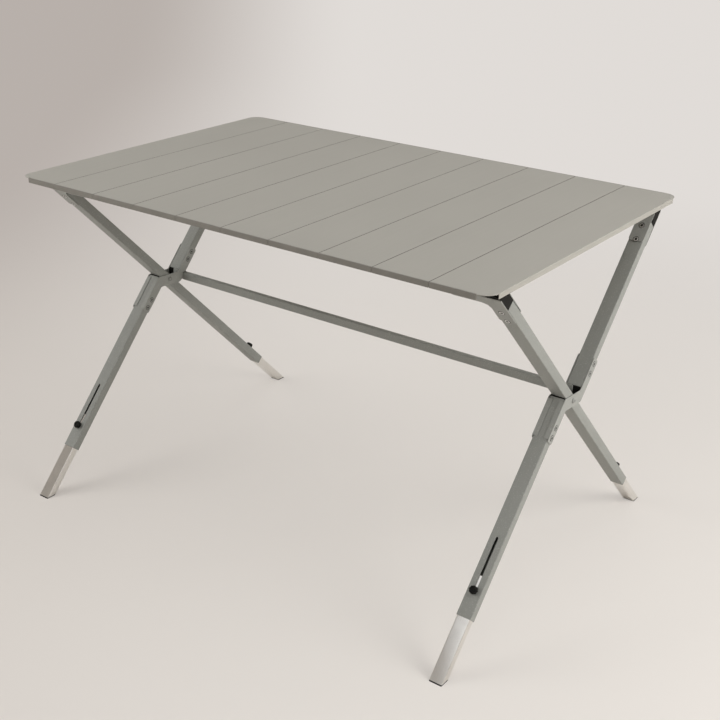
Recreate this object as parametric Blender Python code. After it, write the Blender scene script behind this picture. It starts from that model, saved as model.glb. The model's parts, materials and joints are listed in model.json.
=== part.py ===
"""Camping table: a top of ten hollow slats that rolls up, on a crossed frame that folds at two hubs.

X runs along the table, Y from the near long side to the far one, Z up from the floor.
The origin is on the floor, in the middle of the space that the table takes.
"""

import math

import bmesh
import bpy
from mathutils import Matrix, Vector

# Gap that neighbouring pieces keep, and how far a cutter reaches past what it cuts
CLEAR = 0.0003
OVERCUT = 0.005

# Table top
HEIGHT = 0.709
TOP_WIDTH = 0.7242
SLAT_COUNT = 10
SLAT_PITCH = 0.1095
LEFT_SLAT_WIDTH = 0.1026
RIGHT_SLAT_WIDTH = 0.112
SLAT_THICKNESS = 0.010
SLAT_WALL = 0.0012
SLAT_WEBS = 3
SLAT_GAP = 0.0004
SLAT_EASE = 0.0005
CORNER_RADIUS = 0.026
CORNER_RECESS = 0.014
CAP_FLANGE = 0.0025
CAP_TONGUE = 0.007
CAP_FIT = 0.0002

# Legs, seen from the end of the table
LEG_SPACING = 1.033
LEG_WIDTH = 0.030
LEG_DEPTH = 0.020
LEG_WALL = 0.0012
LEG_ROUNDING = 0.002
FRAME_SHIFT = 0.0058
PIVOT_HEIGHT = 0.401
PIVOT_FROM_TOP_CENTRE = -0.0096
LEG_A_LEAN = math.radians(45.2)
LEG_B_LEAN = math.radians(42.4)
LEG_B_OFFSET = 0.0233
LEG_LOWER_LENGTH = 0.446
LEG_TOP_DROP = 0.0388

# Rails and their corners
RAIL_TOP_DROP = 0.017
RAIL_STANDOFF = 0.012
RAIL_WALL = 0.0012
PAD_WIDTH = 0.022
PAD_REACH = 0.3070
PAD_END_INSET = 0.030
PAD_EASE = 0.001
SPIGOT_LENGTH = 0.025
LEG_SPIGOT_LENGTH = 0.0125
SPIGOT_FIT = 0.0004
PLATE_THICKNESS = 0.0015
PLATE_ARM = 0.024
PLATE_LEG_DOWN = 0.056
PLATE_REACH = 0.070
PLATE_FILLET = 0.014
PLATE_ROUNDING = 0.004
CORNER_RIVETS = (0.023, 0.053)
RIVET_HOLE = 0.0046
RAIL_RIVETS = (0.035, 0.058)

# Hubs
HUB_ARM = 0.0965
HUB_STEP = 0.0122
HUB_STEP_ROUNDING = 0.008
HUB_THROAT = 0.027
HUB_LIP = 0.0085
HUB_LIP_START = 0.013
HUB_RIVETS = (0.0657, 0.0857)
HUB_RIVET_HOLE = 0.0056
PIVOT_SHANK = 0.0080
PIVOT_HOLE = 0.0086
PIVOT_HEAD = 0.0130
PIVOT_DOME = 0.0030
PIVOT_CROWN = 0.0078
PIVOT_CROWN_DROP = 0.0006
LOWER_CUT_FROM_PIVOT = -0.0324
UPPER_CUT_FROM_PIVOT = 0.0326
PLUG_FLANGE = 0.0015
PLUG_LENGTH = 0.018
BAR_DEPTH = 0.012
BAR_HEIGHT = 0.018
BAR_WALL = 0.0012
BAR_ALONG = 0.0298
BAR_ACROSS = 0.0379
BAR_EAR = 0.0095
EAR_ROUNDING = 0.0085
EAR_FILLET = 0.002

# Feet
FOOT_WIDTH = 0.0268
FOOT_DEPTH = 0.0168
FOOT_WALL = 0.0015
FOOT_ROUNDING = 0.0016
FOOT_TOP = 0.366
FOOT_PLUG_FLANGE = 0.0015
FOOT_PLUG_LENGTH = 0.025
SLOT_START = 0.291
SLOT_END = 0.398
SLOT_WIDTH = 0.0050
KNOB_AT = 0.395
KNOB_SIZE = 0.016
KNOB_HEIGHT = 0.010
KNOB_LOBES = 8
KNOB_LOBE_DEPTH = 0.0009
KNOB_STRAIGHT = 0.008
STUD_SIZE = 0.0042
STUD_HOLE = 0.0050
STUD_REACH = 0.0075

# Each step of the knob's crown: its share of the crown's height, and how much of the step below it keeps
KNOB_CROWN = ((0.75, 0.88), (1.0, 0.70))

# Parts of a circle for each kind of round piece
ARC_STEPS = 6
ROUNDING_STEPS = 2
SLOT_STEPS = 4
SMALL_SIDES = 8
PIVOT_SIDES = 16
KNOB_STEPS_PER_LOBE = 4

SMOOTH_ANGLE = math.radians(35)
MERGE_DISTANCE = 1e-6
AXIS_DISPLAY_SIZE = 0.05

PAINTED_TOP = ("top_paint", (0.37, 0.36, 0.33), 0.42, 0.25)
PAINTED_FRAME = ("frame_paint", (0.25, 0.26, 0.245), 0.40, 0.30)
PLATE_STEEL = ("plate_steel", (0.27, 0.28, 0.265), 0.38, 0.45)
BLACK_PLASTIC = ("black_plastic", (0.012, 0.012, 0.011), 0.45, 0.0)
BLACK_RUBBER = ("black_rubber", (0.02, 0.02, 0.02), 0.80, 0.0)
BRIGHT_STEEL = ("bright_steel", (0.68, 0.68, 0.67), 0.15, 1.0)
RIVET_STEEL = ("rivet_steel", (0.55, 0.55, 0.54), 0.30, 1.0)

X, Y, Z = range(3)


class Line:
    """A line in the end view, with local Z along it, local Y square to it and local X along the table."""

    def __init__(self, y, z, lean):
        self.start = Vector((y, z))
        self.along = Vector((math.sin(lean), math.cos(lean)))
        self.across = Vector((math.cos(lean), -math.sin(lean)))

    def point(self, along, across=0.0):
        return self.start + self.along * along + self.across * across

    def seat(self, x, along=0.0, across=0.0):
        """The place and turn of a piece on the line."""
        y, z = self.point(along, across)
        turn = Matrix(((1, 0, 0), (0, *self.across), (0, *self.along))).transposed()
        return Matrix.Translation((x, y, z)) @ turn.to_4x4()

    def at_y(self, y, across_shift=0.0):
        """How far along the line a plane of constant y lies, for a point across the line."""
        return lambda p, q: (y - self.start.x - self.across.x * (q + across_shift)) / self.along.x

    def at_z(self, z, across_shift=0.0):
        """How far along the line a level plane lies, for a point across the line."""
        return lambda p, q: (z - self.start.y - self.across.y * (q + across_shift)) / self.along.y


def foot_reach(lean, across):
    """How far the foot of a leg reaches from the pivot, seen from the end, at floor level."""
    line = Line(0.0, PIVOT_HEIGHT, lean)
    edges = [line.at_z(0.0, across)(0.0, side * FOOT_DEPTH / 2) for side in (-1, 1)]
    return [line.point(edge, across + side * FOOT_DEPTH / 2).x for edge, side in zip(edges, (-1, 1))]


# The feet span the space evenly to both sides of the origin
NEAR_REACH = min(foot_reach(LEG_B_LEAN, -LEG_B_OFFSET))
FAR_REACH = max(foot_reach(-LEG_A_LEAN, 0.0))
PIVOT_Y = -(NEAR_REACH + FAR_REACH) / 2
TOP_Y = PIVOT_Y - PIVOT_FROM_TOP_CENTRE

LINE_A = Line(PIVOT_Y, PIVOT_HEIGHT, -LEG_A_LEAN)
LINE_B = Line(PIVOT_Y, PIVOT_HEIGHT, LEG_B_LEAN)

TOP_LENGTH = LEFT_SLAT_WIDTH + SLAT_PITCH * (SLAT_COUNT - 2) + RIGHT_SLAT_WIDTH
SLAT_EDGES = (
    [-TOP_LENGTH / 2]
    + [-TOP_LENGTH / 2 + LEFT_SLAT_WIDTH + SLAT_PITCH * k for k in range(SLAT_COUNT - 1)]
    + [TOP_LENGTH / 2]
)
UNDERSIDE = HEIGHT - SLAT_THICKNESS
RAIL_TOP = HEIGHT - RAIL_TOP_DROP
LEG_TOP_HEIGHT = HEIGHT - LEG_TOP_DROP
LEG_X = {"left": FRAME_SHIFT - LEG_SPACING / 2, "right": FRAME_SHIFT + LEG_SPACING / 2}
OUTWARD = {"left": -1, "right": 1}


def rectangle(width, depth, centre=(0.0, 0.0)):
    u, v = centre
    return [(u - width / 2, v - depth / 2), (u + width / 2, v - depth / 2),
            (u + width / 2, v + depth / 2), (u - width / 2, v + depth / 2)]


def circle(size, sides, centre=(0.0, 0.0)):
    """A circle of a given diameter, with a flat side at the bottom."""
    turns = [2 * math.pi * (k + 0.5) / sides for k in range(sides)]
    return [(centre[0] + size / 2 * math.cos(t), centre[1] + size / 2 * math.sin(t)) for t in turns]


def arc(centre, radius, first, last, steps):
    """Points on an arc between two angles in degrees, both ends included."""
    turns = [math.radians(first + (last - first) * k / steps) for k in range(steps + 1)]
    return [(centre[0] + radius * math.cos(t), centre[1] + radius * math.sin(t)) for t in turns]


def rounded(points, radius, steps=ROUNDING_STEPS):
    """An outline with its corners rounded; radius is one value or one for each corner."""
    radii = radius if isinstance(radius, (list, tuple)) else [radius] * len(points)
    outline = []
    for k, point in enumerate(points):
        corner = Vector(point)
        before = (Vector(points[k - 1]) - corner).normalized()
        after = (Vector(points[(k + 1) % len(points)]) - corner).normalized()
        if radii[k] == 0:
            outline.append(tuple(corner))
            continue
        half = before.angle(after) / 2
        centre = corner + (before + after).normalized() * radii[k] / math.sin(half)
        start = corner + before * radii[k] / math.tan(half) - centre
        sweep = start.angle_signed(corner + after * radii[k] / math.tan(half) - centre)
        for step in range(steps + 1):
            turned = Matrix.Rotation(-sweep * step / steps, 2) @ start
            outline.append(tuple(centre + turned))
    return outline


def inset(points, distance):
    """An outline moved inward; its points run anticlockwise."""
    outline = []
    for k, point in enumerate(points):
        before = (Vector(point) - Vector(points[k - 1])).normalized()
        after = (Vector(points[(k + 1) % len(points)]) - Vector(point)).normalized()
        inward = Vector((-before.y - after.y, before.x + after.x)).normalized()
        outline.append(tuple(Vector(point) + inward * distance / inward.dot(Vector((-before.y, before.x)))))
    return outline


def tube_outline(width, depth, rounding):
    return rounded(rectangle(width, depth), rounding)


def tube_loops(width, depth, wall, rounding):
    """The outer and inner outline of a tube."""
    inner = max(rounding - wall, rounding / 4)
    return [tube_outline(width, depth, rounding), tube_outline(width - 2 * wall, depth - 2 * wall, inner)]


def draw_loop(mesh, points, axis, level):
    """Draw a closed outline square to an axis; level is a height or a function of the two coordinates."""
    others = [k for k in range(3) if k != axis]
    verts = []
    for p, q in points:
        place = Vector()
        place[axis] = level(p, q) if callable(level) else level
        place[others[0]] = p
        place[others[1]] = q
        verts.append(mesh.verts.new(place))
    edges = [mesh.edges.new((verts[k - 1], verts[k])) for k in range(len(verts))]
    return verts, edges


def raise_faces(mesh, faces, axis, level, keep=False):
    """Extrude faces along an axis to a level, keep or drop the old ones, and give back the new ones."""
    others = [k for k in range(3) if k != axis]
    raised = bmesh.ops.extrude_face_region(mesh, geom=faces, use_keep_orig=True)["geom"]
    if not keep:
        bmesh.ops.delete(mesh, geom=faces, context="FACES")
    for vert in (item for item in raised if isinstance(item, bmesh.types.BMVert)):
        p, q = vert.co[others[0]], vert.co[others[1]]
        vert.co[axis] = level(p, q) if callable(level) else level
    return [item for item in raised if isinstance(item, bmesh.types.BMFace)]


def add_prism(mesh, loops, axis, low, high, pegs=(), peg_end=0.0):
    """Extrude an outline with holes from low to high; pegs are outlines that go on from low to their end."""
    edges = []
    for loop in loops:
        edges += draw_loop(mesh, loop, axis, low)[1]
    peg_faces = []
    for peg in pegs:
        verts, peg_edges = draw_loop(mesh, peg, axis, low)
        edges += peg_edges
        peg_faces.append(mesh.faces.new(verts))
    filled = bmesh.ops.triangle_fill(mesh, edges=edges, use_beauty=True)["geom"]
    faces = [item for item in filled if isinstance(item, bmesh.types.BMFace)] + peg_faces
    top = raise_faces(mesh, faces, axis, high, keep=True)
    if peg_faces:
        raise_faces(mesh, peg_faces, axis, peg_end)
    return top


def add_turned(mesh, profile, axis, centre, sides):
    """Turn a profile of (radius, height) about an axis; its first and last points lie on the axis."""
    side = (axis + 1) % 3
    old = set(mesh.verts)
    verts = []
    for radius, height in profile:
        place = Vector(centre)
        place[axis] += height
        place[side] += radius
        verts.append(mesh.verts.new(place))
    edges = [mesh.edges.new(pair) for pair in zip(verts, verts[1:])]
    direction = Vector((axis == X, axis == Y, axis == Z))
    bmesh.ops.spin(mesh, geom=verts + edges, cent=Vector(centre), axis=direction,
                   angle=2 * math.pi, steps=sides, use_merge=True)
    new = [vert for vert in mesh.verts if vert not in old]
    bmesh.ops.remove_doubles(mesh, verts=new, dist=MERGE_DISTANCE)


def material(slot):
    """The surface of one kind of piece."""
    name, colour, roughness, metallic = slot
    surface = bpy.data.materials.get(name)
    if surface is None:
        surface = bpy.data.materials.new(name)
        surface.use_nodes = True
        shader = surface.node_tree.nodes["Principled BSDF"]
        shader.inputs["Base Color"].default_value = (*colour, 1.0)
        shader.inputs["Roughness"].default_value = roughness
        shader.inputs["Metallic"].default_value = metallic
    return surface


def add_axis(name, place, parent=None):
    """An empty on a joint's axis, which carries the pieces that move together."""
    empty = bpy.data.objects.new(name, None)
    empty.empty_display_size = AXIS_DISPLAY_SIZE
    bpy.context.scene.collection.objects.link(empty)
    attach(empty, parent)
    empty.matrix_basis = Matrix.Translation(place)
    bpy.context.view_layer.update()
    return empty


def attach(piece, parent):
    """Parent a piece and keep its place."""
    if parent is not None:
        piece.parent = parent
        piece.matrix_parent_inverse = parent.matrix_world.inverted()


def add_piece(name, mesh, slot, parent, seat=Matrix(), smooth=True):
    """Make a mesh into a named piece with its own surface."""
    bmesh.ops.recalc_face_normals(mesh, faces=mesh.faces[:])
    data = bpy.data.meshes.new(name)
    mesh.to_mesh(data)
    mesh.free()
    if smooth:
        data.shade_smooth()
        data.set_sharp_from_angle(angle=SMOOTH_ANGLE)
    data.materials.append(material(slot))
    return place_piece(name, data, parent, seat)


def place_piece(name, data, parent, seat):
    piece = bpy.data.objects.new(name, data)
    bpy.context.scene.collection.objects.link(piece)
    attach(piece, parent)
    piece.matrix_basis = seat
    return piece


def combine(piece, mesh, operation):
    """Cut a hidden shape from a piece, or join it to the piece."""
    bmesh.ops.recalc_face_normals(mesh, faces=mesh.faces[:])
    data = bpy.data.meshes.new(f"{operation.lower()}_{piece.name}")
    mesh.to_mesh(data)
    mesh.free()
    tool = place_piece(data.name, data, piece.parent, piece.matrix_basis.copy())
    tool.hide_render = True
    tool.display_type = "WIRE"
    step = piece.modifiers.new(operation.title(), "BOOLEAN")
    step.operation = operation
    step.solver = "EXACT"
    step.object = tool


# Table top

def slat_outline(left, right):
    """The outer outline of a slat, from above its top face at zero to its underside."""
    return [(left, -SLAT_THICKNESS), (right, -SLAT_THICKNESS), (right, -SLAT_EASE),
            (right - SLAT_EASE, 0.0), (left + SLAT_EASE, 0.0), (left, -SLAT_EASE)]


def slat_span(index):
    """The left and right side of a slat, from its left joint."""
    width = SLAT_EDGES[index + 1] - SLAT_EDGES[index]
    left = 0.0 if index == 0 else SLAT_GAP / 2
    right = width if index == SLAT_COUNT - 1 else width - SLAT_GAP / 2
    return left, right


def slat_cells(index):
    """The hollow cells of a slat, as (left, right)."""
    left, right = slat_span(index)
    cell = (right - left - SLAT_WALL * (SLAT_WEBS + 2)) / (SLAT_WEBS + 1)
    starts = [left + SLAT_WALL + (cell + SLAT_WALL) * k for k in range(SLAT_WEBS + 1)]
    return [(start, start + cell) for start in starts]


def slat_end(index):
    """Which way the slat's free end faces: -1 and 1 for the end slats, 0 for the others."""
    return -1 if index == 0 else 1 if index == SLAT_COUNT - 1 else 0


def corner_centre(index, side):
    """The centre of a rounded corner, from the slat's left joint."""
    left, right = slat_span(index)
    x = left + CORNER_RADIUS if slat_end(index) < 0 else right - CORNER_RADIUS
    return x, side * (TOP_WIDTH / 2 - CORNER_RADIUS)


def add_slat(index, parent):
    """A hollow slat; the top skin of one that ends the top runs out to its rounded corners."""
    mesh = bmesh.new()
    inside = SLAT_THICKNESS - 2 * SLAT_WALL
    cells = [rectangle(right - left, inside, ((left + right) / 2, -SLAT_THICKNESS / 2))
             for left, right in slat_cells(index)]
    half = TOP_WIDTH / 2
    if not slat_end(index):
        half -= CAP_FLANGE + CLEAR
    add_prism(mesh, [slat_outline(*slat_span(index)), *cells], Y, -half, half)
    place = Matrix.Translation((SLAT_EDGES[index], TOP_Y, HEIGHT))
    slat = add_piece(f"slat_{index + 1:02d}", mesh, PAINTED_TOP, parent, place, smooth=False)
    if slat_end(index):
        combine(slat, corner_cutter(index, corner_offcut(index), OVERCUT), "DIFFERENCE")
        combine(slat, corner_cutter(index, corner_recess(), -SLAT_WALL - CLEAR), "DIFFERENCE")


def corner_cutter(index, outline, high):
    """A cut at both corners of an end slat, from below it up to a level."""
    mesh = bmesh.new()
    for side in (-1, 1):
        add_prism(mesh, [at_corner(index, side, outline)], Z, -SLAT_THICKNESS - OVERCUT, high)
    return mesh


def at_corner(index, side, outline):
    """An outline from a corner's centre, outward in both directions, placed on its slat."""
    x, y = corner_centre(index, side)
    return [(x + slat_end(index) * u, y + side * v) for u, v in outline]


def corner_offcut(index):
    """What lies outside a rounded corner, and the strip beside it that the slat's end cap takes."""
    left, right = slat_span(index)
    outside = CORNER_RADIUS + OVERCUT
    inside = CORNER_RADIUS - (right - left) - OVERCUT
    cap_line = CORNER_RADIUS - CAP_FLANGE - CLEAR
    return [*arc((0.0, 0.0), CORNER_RADIUS, 0, 90, ARC_STEPS), (0.0, cap_line), (inside, cap_line),
            (inside, outside), (outside, outside), (outside, 0.0)]


def corner_recess():
    """The recess under the skin of a corner; the slat's outer wall stays up to where the corner turns."""
    wall = CORNER_RADIUS - SLAT_WALL - CLEAR
    outside = CORNER_RADIUS + OVERCUT
    return [(-CORNER_RECESS, -CORNER_RECESS), (wall, -CORNER_RECESS), (wall, 0.0), (outside, 0.0),
            (outside, outside), (-CORNER_RECESS, outside)]


def add_corner_cap(name, index, side, parent):
    """The angled cap at the back of a corner's recess, with a tongue in each cell that the recess opens."""
    back = CLEAR - CORNER_RECESS
    front = back + CAP_FLANGE
    root = (back + front) / 2
    wall_end = CORNER_RADIUS - SLAT_WALL - 2 * CLEAR
    free_end = CORNER_RADIUS - CAP_FLANGE - 2 * CLEAR
    angle = [(back, back), (wall_end, back), (wall_end, front),
             (front, front), (front, free_end), (back, free_end)]
    mesh = bmesh.new()
    add_prism(mesh, [at_corner(index, side, angle)], Z, -SLAT_THICKNESS, -SLAT_WALL - 2 * CLEAR)
    place = Matrix.Translation((SLAT_EDGES[index], TOP_Y, HEIGHT))
    cap = add_piece(name, mesh, BLACK_PLASTIC, parent, place)

    fit = CLEAR + CAP_FIT
    corner_x = corner_centre(index, side)[0]
    cells = slat_cells(index)[::-slat_end(index)]
    outer_cell = sorted(slat_end(index) * (x - corner_x) for x in cells[0])
    tongue_end = back - CAP_TONGUE
    tongues = bmesh.new()
    for low_u, high_u, low_v, high_v in (
            (outer_cell[0] + fit, outer_cell[1] - 2 * fit, tongue_end, root),
            (tongue_end, root, root, free_end - CAP_TONGUE)):
        tongue = [(low_u, low_v), (high_u, low_v), (high_u, high_v), (low_u, high_v)]
        level = SLAT_WALL + CLEAR + fit
        add_prism(tongues, [at_corner(index, side, tongue)], Z, level - SLAT_THICKNESS, -level)
    combine(cap, tongues, "UNION")


# Rails and corners

class Corner:
    """Sizes at the top of one pair of legs, in the legs' own line."""

    def __init__(self, name, line, across, outer):
        self.name = name
        self.line = line
        self.across = across
        self.outer = outer
        self.leg_top = line.at_z(LEG_TOP_HEIGHT, across)(0.0, 0.0)
        self.rail_low = self.leg_top + RAIL_STANDOFF
        self.level = line.at_z(RAIL_TOP, across)

    def outline(self, low):
        """The rail's section, or with a lower start the block's: level on top, square to the leg below."""
        half = LEG_DEPTH / 2
        return [(-half, low), (half, low), (half, self.level(0.0, half)), (-half, self.level(0.0, -half))]

    def seat(self, x):
        return self.line.seat(x, across=self.across)


CORNER_NEAR = Corner("near", LINE_A, 0.0, -1)
CORNER_FAR = Corner("far", LINE_B, LEG_B_OFFSET, 1)
RAIL_HALF = LEG_SPACING / 2 - LEG_WIDTH / 2 - CLEAR


def add_rail(corner, parent):
    """A closed rail with a level top, between the two corner blocks."""
    mesh = bmesh.new()
    outline = corner.outline(corner.rail_low)
    add_prism(mesh, [outline, inset(outline, RAIL_WALL)], X, -RAIL_HALF, RAIL_HALF)
    seat = corner.seat(FRAME_SHIFT)
    rail = add_piece(f"rail_{corner.name}", mesh, PAINTED_FRAME, parent, seat, smooth=False)
    holes = bmesh.new()
    face = corner.outer * LEG_DEPTH / 2
    for out in OUTWARD.values():
        for x, along in rail_rivet_places(corner, out):
            hole = circle(RIVET_HOLE, SMALL_SIDES, (x + out * LEG_SPACING / 2, along))
            add_prism(holes, [hole], Y, face + corner.outer * RAIL_WALL, face - corner.outer * 2 * RAIL_WALL)
    combine(rail, holes, "DIFFERENCE")


def add_rail_pad(corner, parent):
    """A strip on the rail that the top lies on; its outer edges are equally far from the pivot."""
    mesh = bmesh.new()
    low = RAIL_TOP + CLEAR
    high = UNDERSIDE - CLEAR
    outer = corner.outer * PAD_REACH
    inner = corner.outer * (PAD_REACH - PAD_WIDTH)
    middle = (outer + inner) / 2
    ease = corner.outer * PAD_EASE
    section = [(inner, low), (outer, low), (outer, high), (middle + ease, high), (middle, high - PAD_EASE),
               (middle - ease, high), (inner + ease, high), (inner, high - PAD_EASE)]
    half = RAIL_HALF - PAD_END_INSET
    add_prism(mesh, [section], X, -half, half)
    seat = Matrix.Translation((FRAME_SHIFT, PIVOT_Y, 0.0))
    add_piece(f"rail_pad_{corner.name}", mesh, BLACK_RUBBER, parent, seat, smooth=False)


def add_corner_block(name, corner, side, parent):
    """A block that closes the rail's end and the leg's top, with a spigot into each."""
    out = OUTWARD[side]
    outside = out * LEG_WIDTH / 2
    mesh = bmesh.new()
    rail_spigot = inset(corner.outline(corner.rail_low), RAIL_WALL + SPIGOT_FIT)
    add_prism(mesh, [corner.outline(corner.leg_top + CLEAR)], X, -outside, outside,
              [rail_spigot], -outside - out * SPIGOT_LENGTH)
    block = add_piece(name, mesh, BLACK_PLASTIC, parent, corner.seat(LEG_X[side]))
    leg_spigot = bmesh.new()
    fit = 2 * (LEG_WALL + SPIGOT_FIT)
    outline = rectangle(LEG_WIDTH - fit, LEG_DEPTH - fit)
    root = corner.leg_top + RAIL_STANDOFF / 2
    add_prism(leg_spigot, [outline], Z, corner.leg_top - LEG_SPIGOT_LENGTH, root)
    combine(block, leg_spigot, "UNION")


def leg_rivet_holes(corner):
    return [circle(RIVET_HOLE, SMALL_SIDES, (0.0, corner.rail_low - drop)) for drop in CORNER_RIVETS]


def rail_rivet_places(corner, out):
    """The rivets through the rail's outer wall, as (x from the leg, along the leg's line)."""
    along = corner.rail_low + PLATE_ARM / 2
    return [(-out * (LEG_WIDTH / 2 + reach), along) for reach in RAIL_RIVETS]


def add_corner_plate(name, corner, side, parent):
    """An angled plate on the outer face of the leg, the corner block and the rail."""
    out = OUTWARD[side]
    outside = out * LEG_WIDTH / 2
    inside = -outside
    tip = inside - out * PLATE_REACH
    low = corner.rail_low
    top = low + PLATE_ARM
    bottom = low - PLATE_LEG_DOWN
    outline = rounded(
        [(outside, bottom), (outside, top), (tip, top), (tip, low), (inside, low), (inside, bottom)],
        [PLATE_ROUNDING, 0, PLATE_ROUNDING, PLATE_ROUNDING, PLATE_FILLET, PLATE_ROUNDING])
    rail_holes = [circle(RIVET_HOLE, SMALL_SIDES, place) for place in rail_rivet_places(corner, out)]
    face = corner.outer * (LEG_DEPTH / 2 + CLEAR)
    mesh = bmesh.new()
    loops = [outline, *leg_rivet_holes(corner), *rail_holes]
    add_prism(mesh, loops, Y, face, face + corner.outer * PLATE_THICKNESS)
    add_piece(name, mesh, PLATE_STEEL, parent, corner.seat(LEG_X[side]), smooth=False)


def add_corner_strap(name, corner, side, parent):
    """A straight plate on the inner face of the leg and the corner block."""
    half = LEG_WIDTH / 2
    bottom = corner.rail_low - PLATE_LEG_DOWN
    top = corner.level(0.0, -corner.outer * LEG_DEPTH / 2) - PLATE_THICKNESS
    outline = rounded([(-half, bottom), (half, bottom), (half, top), (-half, top)],
                      [PLATE_ROUNDING, PLATE_ROUNDING, 0, 0])
    face = -corner.outer * (LEG_DEPTH / 2 + CLEAR)
    mesh = bmesh.new()
    add_prism(mesh, [outline, *leg_rivet_holes(corner)], Y, face, face - corner.outer * PLATE_THICKNESS)
    add_piece(name, mesh, PLATE_STEEL, parent, corner.seat(LEG_X[side]), smooth=False)


# Legs and hubs

def slot_outline():
    """The slot that the knob's stud slides in, along the leg below the hub."""
    half = SLOT_WIDTH / 2
    low = -SLOT_END + half
    high = -SLOT_START - half
    return arc((0.0, low), half, 180, 360, SLOT_STEPS) + arc((0.0, high), half, 0, 180, SLOT_STEPS)


def add_leg(name, side, line, across, low, high, slot_face, corner, pivot, parent):
    """A leg tube with its holes; slot_face is the side that carries the knob, or 0."""
    mesh = bmesh.new()
    loops = tube_loops(LEG_WIDTH, LEG_DEPTH, LEG_WALL, LEG_ROUNDING)
    add_prism(mesh, loops, Z, low, high)
    seat = line.seat(LEG_X[side], across=across)
    leg = add_piece(f"{name}_{side}", mesh, PAINTED_FRAME, parent, seat)
    holes = bmesh.new()
    if slot_face:
        face = slot_face * LEG_DEPTH / 2
        add_prism(holes, [slot_outline()], Y, face - slot_face * 2 * LEG_WALL, face + slot_face * LEG_WALL)
    if corner:
        for hole in leg_rivet_holes(corner):
            add_prism(holes, [hole], Y, -LEG_DEPTH, LEG_DEPTH)
    if pivot:
        add_prism(holes, [circle(PIVOT_HOLE, PIVOT_SIDES)], X, -LEG_WIDTH, LEG_WIDTH)
    else:
        direction = 1 if corner else -1
        for along in HUB_RIVETS:
            hole = circle(HUB_RIVET_HOLE, SMALL_SIDES, (0.0, direction * along))
            add_prism(holes, [hole], X, -LEG_WIDTH, LEG_WIDTH)
    combine(leg, holes, "DIFFERENCE")


def hub_outline(inner):
    """One hub plate: two offset arms and the waist that joins them; the inner one has an ear for the bar."""
    outer = LEG_B_OFFSET + LEG_DEPTH / 2 + PLATE_THICKNESS
    near = LEG_B_OFFSET - LEG_DEPTH / 2
    half = [(near, HUB_THROAT), (near, HUB_ARM), (outer, HUB_ARM)]
    radii = [PLATE_ROUNDING, PLATE_ROUNDING, PLATE_ROUNDING]
    step = [(outer, HUB_STEP)]
    step_radii = [HUB_STEP_ROUNDING]
    ear = []
    ear_radii = []
    if inner:
        low = BAR_ALONG - BAR_EAR
        high = BAR_ALONG + BAR_EAR
        tip = BAR_ACROSS + BAR_EAR
        ear = [(outer, high), (tip, high), (tip, low), (outer, low)]
        ear_radii = [EAR_FILLET, EAR_ROUNDING, EAR_ROUNDING, EAR_FILLET]
    points = half + ear + step
    corner_radii = radii + ear_radii + step_radii
    opposite = [(-u, -v) for u, v in half + step]
    return rounded(points + opposite, corner_radii + radii + step_radii)


def add_hub_plate(name, side, inner, parent):
    """A stamped hub plate with a lip folded over the outer face of each arm."""
    mesh = bmesh.new()
    toward_leg = OUTWARD[side] if inner else -OUTWARD[side]
    near_face = -toward_leg * (LEG_WIDTH / 2 + CLEAR)
    far_face = near_face - toward_leg * PLATE_THICKNESS
    places = [(sign * LEG_B_OFFSET, sign * along) for sign in (-1, 1) for along in HUB_RIVETS]
    holes = [circle(HUB_RIVET_HOLE, SMALL_SIDES, place) for place in places]
    holes.append(circle(PIVOT_HOLE, PIVOT_SIDES))
    if inner:
        holes.append(circle(RIVET_HOLE, SMALL_SIDES, (BAR_ACROSS, BAR_ALONG)))
    add_prism(mesh, [hub_outline(inner), *holes], X, near_face, far_face)
    plate = add_piece(name, mesh, PLATE_STEEL, parent, LINE_B.seat(LEG_X[side]), smooth=False)
    lips = bmesh.new()
    middle = LEG_B_OFFSET + LEG_DEPTH / 2 + CLEAR + (PLATE_THICKNESS - CLEAR) / 2
    lip_top = HUB_ARM - PLATE_ROUNDING
    for sign in (-1, 1):
        start = HUB_LIP_START + PLATE_ROUNDING
        if inner and sign > 0:
            start = BAR_ALONG + BAR_EAR + PLATE_ROUNDING
        centre = (sign * middle, sign * (lip_top + start) / 2)
        lip = rectangle(PLATE_THICKNESS - 2 * CLEAR, lip_top - start, centre)
        add_prism(lips, [lip], X, (near_face + far_face) / 2, near_face + toward_leg * HUB_LIP)
    combine(plate, lips, "UNION")


def add_hub_plug(name, side, across, cut, inward, parent):
    """A plug in the upright cut end of a leg at the hub, with a thin flange."""
    width = LEG_WIDTH - 2 * (LEG_WALL + SPIGOT_FIT)
    depth = LEG_DEPTH - 2 * (LEG_WALL + SPIGOT_FIT)
    tube_end = PIVOT_Y + cut
    mesh = bmesh.new()
    add_prism(mesh, [tube_outline(LEG_WIDTH, LEG_DEPTH, LEG_ROUNDING)], Z,
              LINE_B.at_y(tube_end - inward * CLEAR, across),
              LINE_B.at_y(tube_end - inward * (CLEAR + PLUG_FLANGE), across),
              [rectangle(width, depth)], LINE_B.at_y(tube_end + inward * PLUG_LENGTH, across))
    add_piece(name, mesh, BLACK_PLASTIC, parent, LINE_B.seat(LEG_X[side], across=across))


def add_hub_pivot(name, side, parent):
    """The pin that leg A turns on, headed over outside both hub plates."""
    head = LEG_WIDTH / 2 + PLATE_THICKNESS + 2 * CLEAR
    low = head + PIVOT_DOME
    half = [(PIVOT_SHANK / 2, head), (PIVOT_HEAD / 2, head),
            (PIVOT_CROWN / 2, low - PIVOT_CROWN_DROP), (0.0, low)]
    profile = [(radius, -height) for radius, height in reversed(half)] + half
    mesh = bmesh.new()
    add_turned(mesh, profile, X, (0.0, 0.0, 0.0), PIVOT_SIDES)
    add_piece(name, mesh, RIVET_STEEL, parent, LINE_B.seat(LEG_X[side]))


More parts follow.
